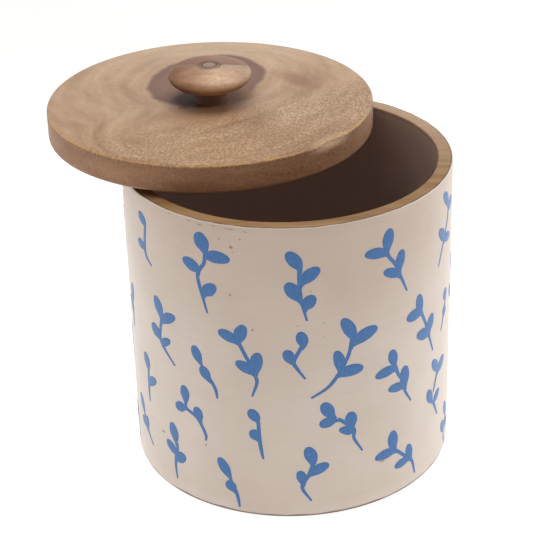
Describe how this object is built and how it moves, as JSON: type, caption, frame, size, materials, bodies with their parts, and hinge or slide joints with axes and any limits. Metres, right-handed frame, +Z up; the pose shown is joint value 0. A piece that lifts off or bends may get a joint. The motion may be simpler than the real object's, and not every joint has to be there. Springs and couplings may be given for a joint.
{
  "type": "lidded canister",
  "caption": "Round turned-wood storage canister with a painted outside and a loose wooden lid with a mushroom knob, set ajar on the rim.",
  "frame": {"origin": "middle of the canister's underside, on the surface it stands on", "axes": "+Z up along the canister's axis; -Y is the front, and the lid at rest is pushed aside towards -X and +Y"},
  "size_m": [0.1572, 0.1534, 0.1519],
  "materials": {
    "body_wood": "bare turned hardwood, lightly oiled",
    "outside_paint": "thin satin off-white brushed paint",
    "sprig_paint": "thin satin blue brushed paint",
    "lid_wood": "sanded hardwood, matt lacquer",
    "knob_wood": "turned hardwood, satin lacquer",
    "dowel_wood": "end grain cut flush"
  },
  "bodies": {
    "canister": {"canister_body": "body_wood", "paint_coat": "outside_paint"},
    "lid": {"lid": "lid_wood", "knob": "knob_wood", "knob_dowel": "dowel_wood"}
  },
  "joints": [
    {"name": "lid_lift", "type": "slide", "parent": "canister", "child": "lid", "axis": [0, 0, 1], "range_m": [0, 0.08]}
  ]
}
